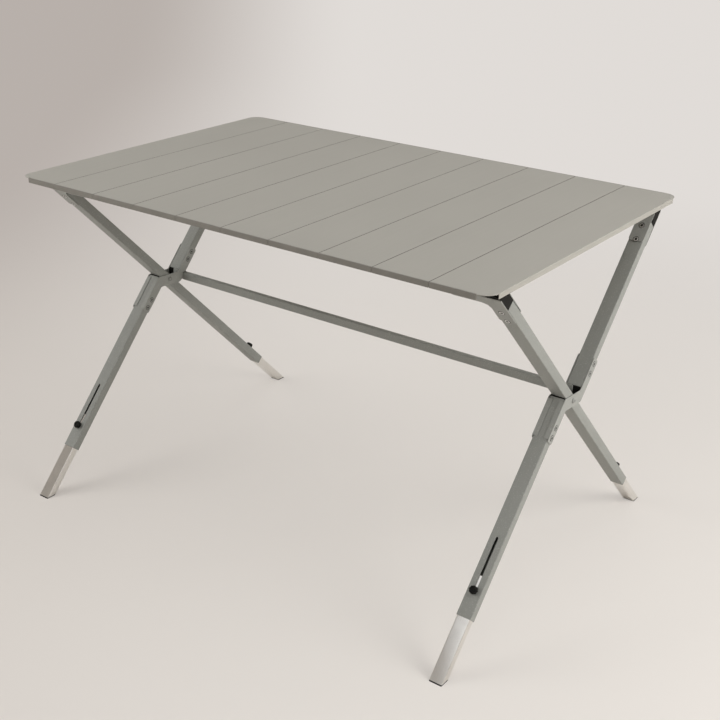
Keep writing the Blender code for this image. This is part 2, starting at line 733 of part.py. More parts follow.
def add_crossbar(parent):
    """The bar between the ears of the two inner hub plates."""
    half = LEG_SPACING / 2 - LEG_WIDTH / 2 - PLATE_THICKNESS - 2 * CLEAR
    mesh = bmesh.new()
    add_prism(mesh, tube_loops(BAR_DEPTH, BAR_HEIGHT, BAR_WALL, LEG_ROUNDING), X, -half, half)
    y, z = LINE_B.point(BAR_ALONG, BAR_ACROSS)
    add_piece("crossbar", mesh, PAINTED_FRAME, parent, Matrix.Translation((FRAME_SHIFT, y, z)))


# Feet

def add_foot(name, side, line, across, knob_face, parent):
    """An inner tube with a floor plug and a clamp knob; it slides in the leg along the slot."""
    floor = line.at_z(0.0, across)
    sleeve_end = line.at_z(FOOT_PLUG_FLANGE + CLEAR, across)
    flange_top = line.at_z(FOOT_PLUG_FLANGE, across)
    seat = line.seat(LEG_X[side], across=across)
    axis = add_axis(f"axis_{name}", line.seat(LEG_X[side], -KNOB_AT, across).translation, parent)

    mesh = bmesh.new()
    add_prism(mesh, tube_loops(FOOT_WIDTH, FOOT_DEPTH, FOOT_WALL, FOOT_ROUNDING), Z, sleeve_end, -FOOT_TOP)
    foot = add_piece(f"foot_{name}", mesh, BRIGHT_STEEL, axis, seat)
    hole = bmesh.new()
    face = knob_face * FOOT_DEPTH / 2
    add_prism(hole, [circle(STUD_HOLE, SMALL_SIDES, (0.0, -KNOB_AT))], Y,
              face - knob_face * 2 * FOOT_WALL, face + knob_face * FOOT_WALL)
    combine(foot, hole, "DIFFERENCE")

    mesh = bmesh.new()
    fit = 2 * (FOOT_WALL + SPIGOT_FIT)
    outline = tube_outline(FOOT_WIDTH, FOOT_DEPTH, FOOT_ROUNDING)
    spigot = rectangle(FOOT_WIDTH - fit, FOOT_DEPTH - fit)
    add_prism(mesh, [outline], Z, flange_top, floor, [spigot], line.at_z(FOOT_PLUG_LENGTH, across))
    add_piece(f"foot_plug_{name}", mesh, BLACK_PLASTIC, axis, seat)

    outward = line.across * knob_face
    y, z = line.point(-KNOB_AT, across + knob_face * (LEG_DEPTH / 2 + CLEAR))
    turn = Matrix(((1, 0, 0), (0, -outward.y, outward.x), (0, *outward))).transposed()
    knob_seat = Matrix.Translation((LEG_X[side], y, z)) @ turn.to_4x4()
    data = bpy.data.meshes.get("knob")
    if data is None:
        add_knob_mesh(f"knob_{name}", axis, knob_seat)
    else:
        place_piece(f"knob_{name}", data, axis, knob_seat)


def add_knob_mesh(name, parent, seat):
    """A lobed clamp knob on the leg's face, with a stud through the slot."""
    mesh = bmesh.new()
    points = KNOB_LOBES * KNOB_STEPS_PER_LOBE
    outline = []
    for k in range(points):
        turn = 2 * math.pi * k / points
        radius = KNOB_SIZE / 2 - KNOB_LOBE_DEPTH * (1 - math.cos(KNOB_LOBES * turn)) / 2
        outline.append((radius * math.cos(turn), radius * math.sin(turn)))
    stud = circle(STUD_SIZE, SMALL_SIDES)
    top = add_prism(mesh, [outline], Z, 0.0, KNOB_STRAIGHT, [stud], -STUD_REACH)
    for share, scale in KNOB_CROWN:
        top = raise_faces(mesh, top, Z, KNOB_STRAIGHT + share * (KNOB_HEIGHT - KNOB_STRAIGHT))
        verts = {vert for face in top for vert in face.verts}
        bmesh.ops.scale(mesh, vec=(scale, scale, 1.0), verts=list(verts))
    knob = add_piece(name, mesh, BLACK_PLASTIC, parent, seat)
    knob.data.name = "knob"


def add_top(parent):
    """The slats as a chain: each one turns on its left neighbour's top edge."""
    outer_corner = (0.0, PIVOT_Y - PAD_REACH, UNDERSIDE)
    body = add_axis("axis_top_tilt", outer_corner, parent)
    for index in range(SLAT_COUNT):
        if index:
            body = add_axis(f"axis_slat_{index + 1:02d}", (SLAT_EDGES[index], TOP_Y, HEIGHT), body)
        add_slat(index, body)
        if slat_end(index):
            side_name = "left" if slat_end(index) < 0 else "right"
            add_corner_cap(f"corner_cap_near_{side_name}", index, -1, body)
            add_corner_cap(f"corner_cap_far_{side_name}", index, 1, body)


def add_corner(corner, parent):
    """A rail with its pad, and what joins it to the two legs."""
    add_rail(corner, parent)
    add_rail_pad(corner, parent)
    for side in OUTWARD:
        add_corner_block(f"corner_block_{corner.name}_{side}", corner, side, parent)
        add_corner_plate(f"corner_plate_{corner.name}_{side}", corner, side, parent)
        add_corner_strap(f"corner_strap_{corner.name}_{side}", corner, side, parent)


def add_frame_a(parent):
    """The near rail and the straight legs, whose feet stand on the far side."""
    add_corner(CORNER_NEAR, parent)
    leg_top = CORNER_NEAR.leg_top
    for side in OUTWARD:
        add_leg("leg_a", side, LINE_A, 0.0, -LEG_LOWER_LENGTH, leg_top, 1, CORNER_NEAR, True, parent)
        add_foot(f"far_{side}", side, LINE_A, 0.0, 1, parent)


def add_frame_b(parent):
    """The far rail and the legs that are offset at the hub, whose feet stand on the near side."""
    add_corner(CORNER_FAR, parent)
    add_crossbar(parent)
    upper, lower = LEG_B_OFFSET, -LEG_B_OFFSET
    leg_top = CORNER_FAR.leg_top
    upper_end = LINE_B.at_y(PIVOT_Y + UPPER_CUT_FROM_PIVOT, upper)
    lower_end = LINE_B.at_y(PIVOT_Y + LOWER_CUT_FROM_PIVOT, lower)
    for side in OUTWARD:
        add_leg("leg_b_upper", side, LINE_B, upper, upper_end, leg_top, 0, CORNER_FAR, False, parent)
        add_leg("leg_b_lower", side, LINE_B, lower, -LEG_LOWER_LENGTH, lower_end, -1, None, False, parent)
        add_hub_plug(f"hub_plug_upper_{side}", side, upper, UPPER_CUT_FROM_PIVOT, 1, parent)
        add_hub_plug(f"hub_plug_lower_{side}", side, lower, LOWER_CUT_FROM_PIVOT, -1, parent)
        add_hub_plate(f"hub_plate_outer_{side}", side, False, parent)
        add_hub_plate(f"hub_plate_inner_{side}", side, True, parent)
        add_hub_pivot(f"hub_pivot_{side}", side, parent)
        add_foot(f"near_{side}", side, LINE_B, lower, -1, parent)


def main():
    for old in list(bpy.data.objects):
        bpy.data.objects.remove(old, do_unlink=True)
    frame_a = add_axis("axis_frame_a", (FRAME_SHIFT, PIVOT_Y, PIVOT_HEIGHT))
    frame_b = add_axis("axis_frame_fold", (FRAME_SHIFT, PIVOT_Y, PIVOT_HEIGHT), frame_a)
    add_frame_a(frame_a)
    add_frame_b(frame_b)
    add_top(frame_a)


if __name__ == "__main__":
    main()
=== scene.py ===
"""Looks of the roll-up camping table: edges, caps, rivets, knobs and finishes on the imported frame.

Every length is in metres, in the frame's own axes: X along the table, Y from the near long side
to the far one, Z up from the floor.
"""

import json
import math

import bmesh
import bpy
from bpy.props import FloatProperty, FloatVectorProperty, IntProperty, PointerProperty
from mathutils import Matrix, Vector

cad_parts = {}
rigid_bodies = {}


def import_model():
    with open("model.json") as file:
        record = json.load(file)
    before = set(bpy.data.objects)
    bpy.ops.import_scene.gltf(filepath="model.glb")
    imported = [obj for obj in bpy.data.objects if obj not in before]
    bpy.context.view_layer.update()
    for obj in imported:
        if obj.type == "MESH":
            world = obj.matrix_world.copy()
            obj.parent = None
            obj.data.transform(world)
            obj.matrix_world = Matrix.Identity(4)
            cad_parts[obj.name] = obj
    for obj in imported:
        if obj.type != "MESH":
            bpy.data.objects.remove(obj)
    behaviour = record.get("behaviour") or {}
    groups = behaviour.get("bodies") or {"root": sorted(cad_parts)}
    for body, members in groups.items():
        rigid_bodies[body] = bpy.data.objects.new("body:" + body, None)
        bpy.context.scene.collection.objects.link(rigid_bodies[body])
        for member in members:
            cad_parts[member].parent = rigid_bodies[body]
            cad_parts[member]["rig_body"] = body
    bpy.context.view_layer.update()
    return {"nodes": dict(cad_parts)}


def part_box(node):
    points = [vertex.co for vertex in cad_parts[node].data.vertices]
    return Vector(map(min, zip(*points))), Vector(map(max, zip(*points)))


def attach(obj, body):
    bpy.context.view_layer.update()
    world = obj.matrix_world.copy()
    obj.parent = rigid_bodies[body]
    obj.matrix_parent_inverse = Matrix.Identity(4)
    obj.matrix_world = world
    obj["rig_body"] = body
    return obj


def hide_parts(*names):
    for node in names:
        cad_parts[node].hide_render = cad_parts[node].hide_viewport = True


bl_info = {
    "name": "Roll-up camping table",
    "version": (1, 0, 0),
    "blender": (4, 5, 0),
    "location": "View3D > Sidebar > Table",
    "description": "Dresses a roll-up camping table with a crossed folding frame",
    "category": "Object",
}

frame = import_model()

SIDES = ("left", "right")
ENDS = ("near", "far")
OUT = {"left": -1, "right": 1, "near": -1, "far": 1}
SLAT_COUNT = 10

# The crossed legs, as in the part's source
LEG_LEAN = {"near": math.radians(-45.2), "far": math.radians(42.4)}
LEG_OFFSET = {"near": 0.0, "far": 0.0233}
RAIL_LOW = {"near": 0.39404, "far": 0.39782}
PLATE_FACE = 0.0118
LEG_RIVETS_BELOW_RAIL = (0.023, 0.053)
RAIL_RIVETS_FROM_LEG = (0.050, 0.073)
RAIL_RIVETS_UP = 0.012
HUB_RIVETS = (0.0657, 0.0857)
HUB_PLATE_FACE = 0.0168
BAR_SEAT = (0.0298, 0.0379)
CORNER_RADIUS = 0.026
PLATE_SHEET = 0.0015

# The tabs of the inner hub plates: from the leg's middle, from the upper plug, and heights from the pivot
HUB_TAB_ROOT = 0.0153
HUB_TAB_TIP = 0.0005
HUB_TAB_GAP = 0.0003
HUB_TAB_HEIGHTS = (-0.010, 0.016)

# A distance under which two places in the frame are the same, and the one that merges corners
CAD_STEP = 0.0001
MERGE_STEP = 1e-6

# Edges over the sharp angle are rounded, and faces within the flat angle are one face
SHARP_ANGLE = math.radians(30.0)
FLAT_ANGLE = math.radians(0.3)
CORNER_CAP_EDGE = 0.0004
PAD_EDGE = 0.0003

# A rivet's pin and the ring of painted shadow round its flange: radius by its own diameter, depth by the
# ring's height
RIVET_PIN = (0.62, 1.3)
RIVET_SHADOW_RING = (0.60, 0.3)
RIVET_SECTION_SIDES = 10
RIVET_PIN_SIDES = 12

# A pivot pin's shank, its gap to the plates, and its head: radius and rise as shares of the head's own
PIVOT_SHANK = 0.004
PIVOT_GAP = 0.0001
PIVOT_HEAD = ((1.0, 0.0), (1.0, 0.25), (0.93, 0.45), (0.78, 0.72), (0.52, 1.0), (0.40, 1.0), (0.34, 0.55),
              (0.0, 0.55))

# The low domed head of the crossbar's screws with its socket: radius and height
SCREW_HEAD = ((0.0, -0.0004), (0.0042, -0.0004), (0.0046, 0.0002), (0.0044, 0.0010), (0.0034, 0.0017),
              (0.0019, 0.0020), (0.0017, 0.0009), (0.0, 0.0008))

# A knob's stud by radius and height, and its body by shares of both and by how far it is lobed
KNOB_STUD = ((0.0020, -0.0075), (0.0021, -0.0070), (0.0021, 0.0))
KNOB_BODY = ((0.74, 0.0, 0.0), (0.78, 0.06, 0.1), (0.80, 0.16, 0.3), (0.97, 0.20, 1.0), (1.0, 0.28, 1.0),
             (1.0, 0.68, 1.0), (0.97, 0.82, 0.9), (0.88, 0.93, 0.7), (0.74, 0.99, 0.3), (0.60, 1.0, 0.0),
             (0.50, 0.97, 0.0), (0.44, 0.88, 0.0), (0.20, 0.86, 0.0))
KNOB_VALLEY = 0.0011
KNOB_STEPS = 10

# The lamps, each with its place and size, and the point that they face
LAMPS = (("key", (-2.2, -1.9, 1.9), 2.0), ("side", (2.6, 0.3, 1.5), 1.6), ("top", (0.2, 0.8, 3.6), 4.0))
LAMP_AIM = Vector((0.0, 0.0, 0.5))
LAMP_COLOUR = (1.0, 0.985, 0.96)
ROOM_COLOUR = (1.0, 0.985, 0.965, 1.0)

# Where polished metal sees the room dark, and by how much
DARK_SIDE = (-0.9, -0.4, -0.3)
DARK_RANGE = (0.2, 0.8)
DARK_SHARE = 0.8

# The camera's right along the floor, along which the floor's glow goes from painted shade on the left to
# lit, and how far off it turns even
FLOOR_RIGHT = (0.805, 0.593, 0.0)
LIT_RANGE = (-1.5, 0.1)
FAR_RANGE = (0.6, 3.0)

# The photograph's camera, fitted to the table's edges
CAMERA_PLACE = (1.3507, -1.81752, 1.3363)
CAMERA_AZIMUTH = math.radians(-36.346)
CAMERA_DOWN = math.radians(25.873)
CAMERA_ROLL = math.radians(0.9765)
CAMERA_LENS = 58.36
CAMERA_SHIFT = (0.02083, 0.05556)
CAMERA_SENSOR = 36.0

# Colours that the finishes blend in: painted shade in the slat joints, dust, rubbed paint, flakes, and a
# pin's broken end whose colour also paints the shadow round each rivet
JOINT_SHADE = (0.035, 0.033, 0.029, 1.0)
RIB_DUST = (0.20, 0.19, 0.17, 1.0)
RUBBED_SLAT = (0.62, 0.62, 0.60, 1.0)
RUBBED_TUBE = (0.60, 0.60, 0.59, 1.0)
FLAKE = (0.72, 0.73, 0.72, 1.0)
BROKEN_PIN = (0.022, 0.021, 0.020, 1.0)


def colour(name, default, description):
    return FloatVectorProperty(name=name, description=description, default=default, size=3,
                               subtype="COLOR", min=0.0, max=1.0)


def length(name, default, description):
    return FloatProperty(name=name, description=description, default=default, min=0.0,
                         unit="LENGTH", precision=4)


def power(name, default, description):
    return FloatProperty(name=name, description=description, default=default, unit="POWER")


class TableTopSettings(bpy.types.PropertyGroup):
    """Sizes and colours of the slatted top"""

    edge: length("Slat edge", 0.0005, "Rounding of the slats' outer edges")
    paint: colour("Paint", (0.365, 0.356, 0.326), "Satin paint of the slats")
    # The end caps' grey is darker than the top's paint: painted shade for the slats' end faces.
    cap: colour("End caps", (0.235, 0.226, 0.206), "Grey plastic caps on the slats' ends")
    cap_rounding: length("End cap rounding", 0.0010, "Rounding of the end caps' corners")
    cap_ease: length("End cap ease", 0.0005, "Rounding of the end caps' outer edges")


class LegFrameSettings(bpy.types.PropertyGroup):
    """Sizes and colours of the crossed legs, rails and plates"""

    edge: length("Tube edge", 0.0005, "Rounding of cut tube ends and block edges")
    plate_edge: length("Plate edge", 0.0003, "Rounding of stamped plate edges")
    paint: colour("Paint", (0.262, 0.270, 0.255), "Textured paint of legs, rails and crossbar")
    plate: colour("Plate paint", (0.290, 0.297, 0.282), "Paint of the stamped plates")
    plastic: colour("Plastic", (0.008, 0.008, 0.0075), "Black blocks, plugs and knobs")
    rubber: colour("Rubber", (0.017, 0.017, 0.017), "Pads between rails and top")


class FittingSettings(bpy.types.PropertyGroup):
    """Sizes and colours of rivets, pivots, knobs and feet"""

    rivet_size: length("Rivet", 0.0096, "Diameter of a rivet's flange")
    rivet_core: length("Rivet core", 0.0040, "Diameter of the broken pin in a rivet's middle")
    rivet_height: length("Rivet height", 0.0008, "How far a rivet's ring stands proud")
    rivet_sides: IntProperty(name="Rivet sides", description="Steps round a rivet", default=20, min=8)
    steel: colour("Rivet steel", (0.66, 0.66, 0.65), "Rings of the rivets")
    pin: colour("Pin steel", (0.24, 0.24, 0.235), "The crossbar's screws")
    bright: colour("Foot steel", (0.90, 0.89, 0.87), "Polished inner tubes of the feet")
    knob_size: length("Knob", 0.016, "Diameter over the knob's lobes")
    knob_height: length("Knob height", 0.010, "Height of the knob above the leg")
    knob_lobes: IntProperty(name="Knob lobes", description="Lobes round the knob", default=8, min=3)
    tab_sheet: length("Hub tab", 0.0015, "Thickness of the tabs folded from the inner hub plates")
    tab_rounding: length("Hub tab rounding", 0.0030, "Rounding of the tabs' free corners")
    pivot_size: length("Pivot head", 0.0110, "Diameter of the pivot pins' heads")


class StageSettings(bpy.types.PropertyGroup):
    """Floor and light"""

    floor: colour("Floor", (0.78, 0.745, 0.705), "Pale seamless floor")
    far_floor: colour("Far floor", (0.75, 0.715, 0.685), "Floor that the camera sees away from the table")
    # The left floor's darker colour is painted shade on the floor.
    side_floor: colour("Left floor", (0.48, 0.435, 0.405), "Floor that the camera sees far to the left")
    ambient: FloatProperty(name="Ambient", description="Strength of the even light", default=0.43)
    key: power("Key light", 46.0, "Power of the large light at the front left")
    side: power("Side light", 53.0, "Power of the light on the right")
    top: power("Top light", 27.0, "Power of the light overhead")


class CampingTableSettings(bpy.types.PropertyGroup):
    """All settings of the table"""

    top: PointerProperty(type=TableTopSettings)
    legs: PointerProperty(type=LegFrameSettings)
    fittings: PointerProperty(type=FittingSettings)
    stage: PointerProperty(type=StageSettings)


class Link:
    """An output of a node; sums and products of links become Math nodes."""

    def __init__(self, nodes, socket):
        self.nodes = nodes
        self.socket = socket

    def math(self, operation, first, second):
        return self.nodes.add("ShaderNodeMath", {"operation": operation}, {0: first, 1: second})

    def __add__(self, other):
        return self.math("ADD", self, other)

    def __radd__(self, other):
        return self.math("ADD", other, self)

    def __sub__(self, other):
        return self.math("SUBTRACT", self, other)

    def __rsub__(self, other):
        return self.math("SUBTRACT", other, self)

    def __mul__(self, other):
        return self.math("MULTIPLY", self, other)

    def __rmul__(self, other):
        return self.math("MULTIPLY", other, self)

    def __truediv__(self, other):
        return self.math("DIVIDE", self, other)


class Nodes:
    """The nodes of one tree."""

    def __init__(self, tree):
        self.tree = tree

    def add(self, kind, settings=None, inputs=None, output=0):
        """Add a node with its settings and inputs, and give back one of its outputs."""
        node = self.tree.nodes.new(kind)
        for name, value in (settings or {}).items():
            setattr(node, name, value)
        self.feed(node, inputs or {})
        return Link(self, node.outputs[output])

    def feed(self, node, inputs):
        """Give the sockets of a node their values or links."""
        for key, value in inputs.items():
            if isinstance(value, Link):
                self.tree.links.new(value.socket, node.inputs[key])
            else:
                node.inputs[key].default_value = value

    def mask(self, value, low, high):
        """0 below low, 1 above high, and smooth between."""
        return self.add("ShaderNodeMapRange", {"interpolation_type": "SMOOTHSTEP"},
                        {"Value": value, "From Min": low, "From Max": high})

    def along(self, place, direction):
        """How far a place lies along a direction."""
        return self.add("ShaderNodeVectorMath", {"operation": "DOT_PRODUCT"}, {0: place, 1: direction},
                        output="Value")


class Finish(Nodes):
    """A material that is built from nodes on Object coordinates."""

    def __init__(self, name):
        self.material = bpy.data.materials.new(name)
        self.material.use_nodes = True
        super().__init__(self.material.node_tree)
        self.shader = self.tree.nodes["Principled BSDF"]
        self.place = self.add("ShaderNodeTexCoord", output="Object")

    def turned(self, lean, stretch):
        """Coordinates turned into a leg's own line, then stretched."""
        upright = self.add("ShaderNodeMapping", {"vector_type": "POINT"},
                           {"Vector": self.place, "Rotation": (lean, 0.0, 0.0)})
        return self.add("ShaderNodeVectorMath", {"operation": "MULTIPLY"}, {0: upright, 1: stretch})

    def noise(self, scale, detail, place=None, rough=0.5):
        return self.add("ShaderNodeTexNoise", inputs={"Vector": place or self.place, "Scale": scale,
                                                      "Detail": detail, "Roughness": rough})

    def shade(self, base, value):
        """A colour made lighter or darker by a value near one."""
        return self.add("ShaderNodeMix", {"data_type": "RGBA", "blend_type": "MULTIPLY"},
                        {0: 1.0, 6: base, 7: self.grey(value)}, output=2)

    def grey(self, value):
        return self.add("ShaderNodeCombineColor", inputs={0: value, 1: value, 2: value})

    def blend(self, factor, first, second):
        return self.add("ShaderNodeMix", {"data_type": "RGBA"}, {0: factor, 6: first, 7: second},
                        output=2)

    def marked(self, name):
        """One on the faces of a piece that carry a mark, zero elsewhere."""
        return self.add("ShaderNodeAttribute", {"attribute_name": name}, output="Fac")

    def wear(self, scale, low, high):
        """Broken patches along the rounded edges, where a hand or a case has rubbed."""
        return self.marked("edge") * self.mask(self.noise(scale, 3.0), low, high)

    def bump(self, height, strength, distance):
        """A normal that rises and falls with a height."""
        return self.add("ShaderNodeBump",
                        inputs={"Height": height, "Strength": strength, "Distance": distance})

    def finish(self, base, roughness, metallic, normal, specular=0.5):
        """Feed the shader, and give back the material."""
        self.feed(self.shader, {"Base Color": base, "Roughness": roughness, "Metallic": metallic,
                                "Normal": normal, "Specular IOR Level": specular})
        return self.material


def opaque(shade):
    return (*shade, 1.0)


def slat_paint(name, shade):
    """Satin paint with faint lines along the slat, soft clouds, rubbed rims and painted shade in the
    joints.
    """
    look = Finish(name)
    clouds = look.noise(5.0, 3.0)
    lines = look.noise(1.0, 2.0, look.turned(0.0, (420.0, 2.5, 420.0)))
    grain = look.noise(1400.0, 2.0)
    tone = 0.90 + clouds * 0.10 + lines * 0.06 + grain * 0.04
    joint = look.marked("joint")
    rubbed = look.wear(60.0, 0.52, 0.72) * (1.0 - joint)
    painted = look.shade(opaque(shade), tone)
    # Painted shade: the joint faces between slats are darkened nearly to black.
    shaded_joints = look.blend(joint * (0.70 + clouds * 0.25), painted, JOINT_SHADE)
    base = look.blend(rubbed * 0.5, shaded_joints, RUBBED_SLAT)
    rough = 0.44 + clouds * 0.08 + grain * 0.06 - rubbed * 0.12
    height = grain * 0.7 + lines * 0.3
    return look.finish(base, rough, rubbed * 0.6, look.bump(height, 0.12, 0.0001), specular=0.42)


def leg_paint(name, shade, lean):
    """Textured paint with fine bright flakes, worn through at a few edges."""
    look = Finish(name)
    along = look.turned(lean, (260.0, 260.0, 3.0))
    lines = look.noise(1.0, 2.0, along)
    clouds = look.noise(9.0, 2.0)
    grain = look.noise(1100.0, 3.0, rough=0.6)
    flakes = look.mask(look.noise(560.0, 1.0), 0.62, 0.74)
    rubbed = look.wear(90.0, 0.50, 0.68)
    tone = 0.88 + clouds * 0.12 + lines * 0.08 + grain * 0.06
    painted = look.blend(flakes * 0.24, look.shade(opaque(shade), tone), FLAKE)
    base = look.blend(rubbed * 0.6, painted, RUBBED_TUBE)
    rough = 0.40 + grain * 0.14 - rubbed * 0.10
    return look.finish(base, rough, rubbed * 0.7, look.bump(grain, 0.18, 0.0001), specular=0.45)


def moulded_plastic(name, shade):
    """Moulded plastic with a spark-eroded texture, paler where its edges are rubbed."""
    look = Finish(name)
    grain = look.noise(1800.0, 2.0)
    clouds = look.noise(40.0, 3.0)
    rubbed = look.wear(140.0, 0.45, 0.70)
    paler = opaque([0.05 + 1.2 * value for value in shade])
    base = look.blend(rubbed * 0.35, look.shade(opaque(shade), 0.85 + clouds * 0.3), paler)
    rough = 0.50 + clouds * 0.10 - rubbed * 0.08
    return look.finish(base, rough, 0.0, look.bump(grain, 0.35, 0.0001), specular=0.15)


def ribbed_rubber(name, shade):
    """Dull rubber with fine ribs along the rail and a little dust."""
    look = Finish(name)
    ribs = look.add("ShaderNodeTexWave", {"bands_direction": "Y"},
                    {"Vector": look.place, "Scale": 160.0, "Distortion": 0.0})
    dust = look.mask(look.noise(30.0, 4.0), 0.45, 0.80)
    base = look.blend(dust * 0.12, opaque(shade), RIB_DUST)
    return look.finish(base, 0.78 + dust * 0.12, 0.0, look.bump(ribs, 0.25, 0.0003))


def drawn_steel(name, shade, rough):
    """Drawn steel with slight smudges."""
    look = Finish(name)
    smudge = look.noise(260.0, 3.0)
    base = look.shade(opaque(shade), 0.85 + smudge * 0.25)
    return look.finish(base, rough + smudge * 0.16, 1.0, look.bump(smudge, 0.10, 0.0001))


def broken_pin(name):
    """The dark broken end of a rivet's pin, whose colour also paints the shadow ring round each rivet."""
    look = Finish(name)
    grain = look.noise(1500.0, 2.0)
    base = look.shade(BROKEN_PIN, 0.6 + grain * 0.8)
    return look.finish(base, 0.55 + grain * 0.2, 0.6, look.bump(grain, 0.5, 0.0002))


def polished_tube(name, shade, lean):
    """Polished tube with fine lines along it, smudges and a little brushing where it slides."""
    look = Finish(name)
    lines = look.noise(1.0, 2.0, look.turned(lean, (1500.0, 1500.0, 6.0)))
    smudge = look.mask(look.noise(55.0, 4.0), 0.40, 0.75)
    base = look.shade(opaque(shade), 0.92 + lines * 0.10 - smudge * 0.05)
    rough = 0.10 + lines * 0.05 + smudge * 0.08
    return look.finish(base, rough, 1.0, look.bump(lines, 0.06, 0.00005))


def seamless_floor(name, stage):
    """Pale painted floor, which the camera sees evenly bright away from the table, with painted shade
    that darkens it far left.
    """
    look = Finish(name)
    clouds = look.noise(0.6, 2.0)
    grain = look.noise(90.0, 2.0)
    base = look.shade(opaque(stage.floor), 0.97 + clouds * 0.05 + grain * 0.01)
    look.finish(base, 0.72 + clouds * 0.1, 0.0, look.bump(grain, 0.03, 0.001), specular=0.2)
    # Painted shade: the floor's glow darkens towards the camera's left.
    lit = look.mask(look.along(look.place, FLOOR_RIGHT), *LIT_RANGE)
    even = look.blend(lit, opaque(stage.side_floor), opaque(stage.far_floor))
    glow = look.add("ShaderNodeEmission", inputs={"Color": even})
    distance = look.add("ShaderNodeVectorMath", {"operation": "LENGTH"}, {0: look.place}, output="Value")
    seen = look.add("ShaderNodeLightPath", output="Is Camera Ray")
    far = seen * (0.45 + 0.55 * look.mask(distance, *FAR_RANGE))
    paint = Link(look, look.shader.outputs[0])
    mixed = look.add("ShaderNodeMixShader", inputs={0: far, 1: paint, 2: glow})
    look.feed(look.tree.nodes["Material Output"], {"Surface": mixed})
    return look.material


MATERIALS = {}


def surface(name, make, *values):
    """A material that is made once, when the first piece needs it."""
    if name not in MATERIALS:
        MATERIALS[name] = make(name, *values)
    return MATERIALS[name]


def black_plastic(table):
    """The plastic of blocks, plugs, corner caps and knobs."""
    return surface("black_plastic", moulded_plastic, table.legs.plastic)


def leg_finish(node_name, table):
    """The paint of a tube or plate, turned to the leg that it lies along."""
    frame_name, line = ("a", "near") if "leg_a" in node_name or "near" in node_name else ("b", "far")
    if "plate" in node_name or "strap" in node_name:
        return surface(f"plate_paint_{frame_name}", leg_paint, table.legs.plate, LEG_LEAN[line])
    return surface(f"tube_paint_{frame_name}", leg_paint, table.legs.paint, LEG_LEAN[line])


def body_of(node_name):
    """The body that a node of the frame moves with."""
    return frame["nodes"][node_name]["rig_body"]


def middle_of(node_name):
    """The middle of a node's box."""
    low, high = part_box(node_name)
    return (low + high) / 2


def link_piece(name, data, body, materials, nodes=()):
    """Put a finished mesh into the scene as a piece that rides on a body."""
    piece = bpy.data.objects.new(name, data)
    bpy.context.scene.collection.objects.link(piece)
    numbers = [materials.index(data.materials[face.material_index]) if len(data.materials) > 1 else 0
               for face in data.polygons]
    data.materials.clear()
    for material in materials:
        data.materials.append(material)
    data.polygons.foreach_set("material_index", numbers)
    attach(piece, body)
    if nodes:
        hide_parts(*nodes)
    return piece


def smooth_mesh(mesh, name, angle=40.0):
    """A bmesh as mesh data with smooth shading between its sharp edges."""
    data = bpy.data.meshes.new(name)
    mesh.to_mesh(data)
    mesh.free()
    data.shade_smooth()
    data.set_sharp_from_angle(angle=math.radians(angle))
    return data


def round_edges(mesh, radius, kept=lambda edge: False):
    """Round a solid's sharp edges, but for those that are kept, and mark the new faces for wear."""
    edge_layer = mesh.faces.layers.float.new("edge")
    sharp = [edge for edge in mesh.edges
             if len(edge.link_faces) == 2 and edge.calc_face_angle(0.0) > SHARP_ANGLE and not kept(edge)]
    made = bmesh.ops.bevel(mesh, geom=sharp, offset=radius, offset_type="OFFSET", segments=2, profile=0.5,
                           affect="EDGES", clamp_overlap=True)
    for face in made["faces"]:
        face[edge_layer] = 1.0


def merged_copy(node_name):
    """The solid of a node as one merged mesh, with each flat face in few pieces."""
    mesh = bmesh.new()
    mesh.from_mesh(frame["nodes"][node_name].data)
    bmesh.ops.remove_doubles(mesh, verts=mesh.verts, dist=MERGE_STEP)
    bmesh.ops.dissolve_limit(mesh, angle_limit=FLAT_ANGLE, verts=mesh.verts, edges=mesh.edges)
    bmesh.ops.triangulate(mesh, faces=[face for face in mesh.faces if len(face.verts) > 4])
    return mesh


def dressed_node(mesh, node_name, material):
    """Put a finished mesh in the place of a solid of the frame."""
    data = smooth_mesh(mesh, f"{node_name}_rounded")
    piece = link_piece(data.name, data, body_of(node_name), [material], [node_name])
    weights = piece.modifiers.new("Flat faces", "WEIGHTED_NORMAL")
    weights.keep_sharp = True


def rounded_copy(node_name, radius, material):
    """A piece with rounded edges in the place of a solid of the frame."""
    mesh = merged_copy(node_name)
    round_edges(mesh, radius)
    dressed_node(mesh, node_name, material)


def leg_point(end, along, across, x=0.0):
    """A point in a leg's own line, from the pivot."""
    pivot = middle_of("hub_pivot_left")
    lean = LEG_LEAN[end]
    y = pivot.y + math.sin(lean) * along + math.cos(lean) * across
    z = pivot.z + math.cos(lean) * along - math.sin(lean) * across
    return Vector((x, y, z))


def leg_across(end):
    """The direction across a leg, towards the far side."""
    lean = LEG_LEAN[end]
    return Vector((0.0, math.cos(lean), -math.sin(lean)))


def leg_x(side):
    """Where the middle of a side's legs lies along the table."""
    return middle_of(f"leg_a_{side}").x


def instanced(name, tree, seeds, sizes):
    """Run a geometry tree on seed points, and give back its result as a plain mesh."""
    data = bpy.data.meshes.new(f"{name}_seeds")
    data.from_pydata([place for place, facing in seeds], [], [])
    attribute = data.attributes.new("facing", "FLOAT_VECTOR", "POINT")
    for k, (place, facing) in enumerate(seeds):
        attribute.data[k].vector = facing
    holder = bpy.data.objects.new(f"{name}_seeds", data)
    bpy.context.scene.collection.objects.link(holder)
    modifier = holder.modifiers.new("Geometry", "NODES")
    modifier.node_group = tree
    identifiers = {item.name: item.identifier for item in tree.interface.items_tree
                   if item.in_out == "INPUT"}
    for socket, value in sizes.items():
        modifier[identifiers[socket]] = value
    depsgraph = bpy.context.evaluated_depsgraph_get()
    result = bpy.data.meshes.new_from_object(holder.evaluated_get(depsgraph), depsgraph=depsgraph)
    result.name = name
    holder.modifiers.remove(modifier)
    bpy.data.objects.remove(holder)
    return result


